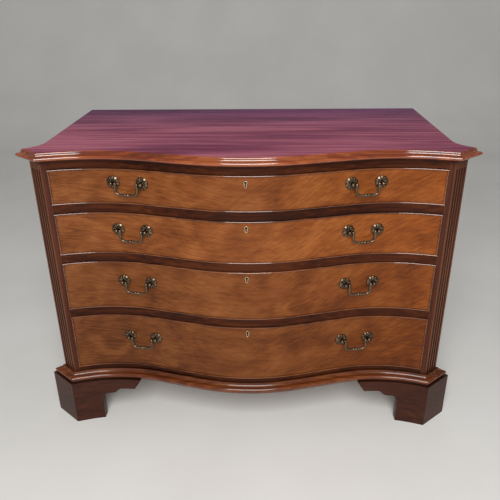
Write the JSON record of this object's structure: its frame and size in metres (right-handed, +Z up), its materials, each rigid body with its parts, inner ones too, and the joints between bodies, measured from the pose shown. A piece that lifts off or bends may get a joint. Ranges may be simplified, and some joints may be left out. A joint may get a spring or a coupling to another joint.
{
  "type": "serpentine chest of drawers",
  "caption": "Serpentine-front chest of drawers with moulded top, canted fluted corners, cockbeaded drawers, swinging brass bail handles, working lock bolts and bracket feet.",
  "frame": {"origin": "middle of the plan on the floor", "axes": "+X to the right along the width, +Z up, the drawers face -Y"},
  "size_m": [1.1524, 0.5778, 0.804],
  "materials": {
    "mahogany_top": "polished",
    "mahogany_case": "polished",
    "mahogany_drawer": "polished",
    "mahogany_bead": "polished",
    "oak_lining": "plain",
    "pine_carcase": "rough",
    "handle_brass": "aged",
    "lock_brass": "polished",
    "bolt_steel": "brushed"
  },
  "bodies": {
    "case": {"top_board": "mahogany_top", "bed_moulding": "mahogany_case", "base_moulding": "mahogany_case", "left_side": "mahogany_case", "right_side": "mahogany_case", "back_boards": "pine_carcase", "bottom_board": "pine_carcase", "bottom_rail": "mahogany_case", "top_rail": "mahogany_case", "drawer_rails": "mahogany_case", "left_pilaster": "mahogany_case", "right_pilaster": "mahogany_case", "drawer_runners": "oak_lining", "dust_boards": "pine_carcase", "drawer_stops": "pine_carcase", "front_left_foot": "mahogany_case", "rear_left_foot": "mahogany_case", "front_right_foot": "mahogany_case", "rear_right_foot": "mahogany_case", "foot_blocks": "pine_carcase"},
    "drawer_1": {"drawer_1_front": "mahogany_drawer", "drawer_1_sides": "oak_lining", "drawer_1_back": "oak_lining", "drawer_1_bottom": "oak_lining", "drawer_1_cockbead": "mahogany_bead", "drawer_1_lock": "lock_brass", "drawer_1_handle_plates": "handle_brass"},
    "drawer_1_bolt": {"drawer_1_lock_bolt": "bolt_steel"},
    "drawer_1_left_handle": {"drawer_1_left_bail": "handle_brass"},
    "drawer_1_right_handle": {"drawer_1_right_bail": "handle_brass"},
    "drawer_2": {"drawer_2_front": "mahogany_drawer", "drawer_2_sides": "oak_lining", "drawer_2_back": "oak_lining", "drawer_2_bottom": "oak_lining", "drawer_2_cockbead": "mahogany_bead", "drawer_2_lock": "lock_brass", "drawer_2_handle_plates": "handle_brass"},
    "drawer_2_bolt": {"drawer_2_lock_bolt": "bolt_steel"},
    "drawer_2_left_handle": {"drawer_2_left_bail": "handle_brass"},
    "drawer_2_right_handle": {"drawer_2_right_bail": "handle_brass"},
    "drawer_3": {"drawer_3_front": "mahogany_drawer", "drawer_3_sides": "oak_lining", "drawer_3_back": "oak_lining", "drawer_3_bottom": "oak_lining", "drawer_3_cockbead": "mahogany_bead", "drawer_3_lock": "lock_brass", "drawer_3_handle_plates": "handle_brass"},
    "drawer_3_bolt": {"drawer_3_lock_bolt": "bolt_steel"},
    "drawer_3_left_handle": {"drawer_3_left_bail": "handle_brass"},
    "drawer_3_right_handle": {"drawer_3_right_bail": "handle_brass"},
    "drawer_4": {"drawer_4_front": "mahogany_drawer", "drawer_4_sides": "oak_lining", "drawer_4_back": "oak_lining", "drawer_4_bottom": "oak_lining", "drawer_4_cockbead": "mahogany_bead", "drawer_4_lock": "lock_brass", "drawer_4_handle_plates": "handle_brass"},
    "drawer_4_bolt": {"drawer_4_lock_bolt": "bolt_steel"},
    "drawer_4_left_handle": {"drawer_4_left_bail": "handle_brass"},
    "drawer_4_right_handle": {"drawer_4_right_bail": "handle_brass"}
  },
  "joints": [
    {"name": "drawer_1_slide", "type": "slide", "parent": "case", "child": "drawer_1", "axis": [0, -1, 0], "range_m": [0, 0.35]},
    {"name": "drawer_1_bolt_slide", "type": "slide", "parent": "drawer_1", "child": "drawer_1_bolt", "axis": [0, 0, 1], "range_m": [0, 0.008]},
    {"name": "drawer_1_left_handle_swing", "type": "hinge", "parent": "drawer_1", "child": "drawer_1_left_handle", "pos_m": [-0.29615, -0.22482, 0.722], "axis": [-0.9857, 0.1683, 0], "range_deg": [-15, 120]},
    {"name": "drawer_1_right_handle_swing", "type": "hinge", "parent": "drawer_1", "child": "drawer_1_right_handle", "pos_m": [0.29615, -0.22482, 0.722], "axis": [-0.9857, -0.1683, 0], "range_deg": [-15, 120]},
    {"name": "drawer_2_slide", "type": "slide", "parent": "case", "child": "drawer_2", "axis": [0, -1, 0], "range_m": [0, 0.35]},
    {"name": "drawer_2_bolt_slide", "type": "slide", "parent": "drawer_2", "child": "drawer_2_bolt", "axis": [0, 0, 1], "range_m": [0, 0.008]},
    {"name": "drawer_2_left_handle_swing", "type": "hinge", "parent": "drawer_2", "child": "drawer_2_left_handle", "pos_m": [-0.29615, -0.22482, 0.596], "axis": [-0.9857, 0.1683, 0], "range_deg": [-15, 120]},
    {"name": "drawer_2_right_handle_swing", "type": "hinge", "parent": "drawer_2", "child": "drawer_2_right_handle", "pos_m": [0.29615, -0.22482, 0.596], "axis": [-0.9857, -0.1683, 0], "range_deg": [-15, 120]},
    {"name": "drawer_3_slide", "type": "slide", "parent": "case", "child": "drawer_3", "axis": [0, -1, 0], "range_m": [0, 0.35]},
    {"name": "drawer_3_bolt_slide", "type": "slide", "parent": "drawer_3", "child": "drawer_3_bolt", "axis": [0, 0, 1], "range_m": [0, 0.008]},
    {"name": "drawer_3_left_handle_swing", "type": "hinge", "parent": "drawer_3", "child": "drawer_3_left_handle", "pos_m": [-0.29615, -0.22482, 0.446], "axis": [-0.9857, 0.1683, 0], "range_deg": [-15, 120]},
    {"name": "drawer_3_right_handle_swing", "type": "hinge", "parent": "drawer_3", "child": "drawer_3_right_handle", "pos_m": [0.29615, -0.22482, 0.446], "axis": [-0.9857, -0.1683, 0], "range_deg": [-15, 120]},
    {"name": "drawer_4_slide", "type": "slide", "parent": "case", "child": "drawer_4", "axis": [0, -1, 0], "range_m": [0, 0.35]},
    {"name": "drawer_4_bolt_slide", "type": "slide", "parent": "drawer_4", "child": "drawer_4_bolt", "axis": [0, 0, 1], "range_m": [0, 0.008]},
    {"name": "drawer_4_left_handle_swing", "type": "hinge", "parent": "drawer_4", "child": "drawer_4_left_handle", "pos_m": [-0.29615, -0.22482, 0.2715], "axis": [-0.9857, 0.1683, 0], "range_deg": [-15, 120]},
    {"name": "drawer_4_right_handle_swing", "type": "hinge", "parent": "drawer_4", "child": "drawer_4_right_handle", "pos_m": [0.29615, -0.22482, 0.2715], "axis": [-0.9857, -0.1683, 0], "range_deg": [-15, 120]}
  ]
}
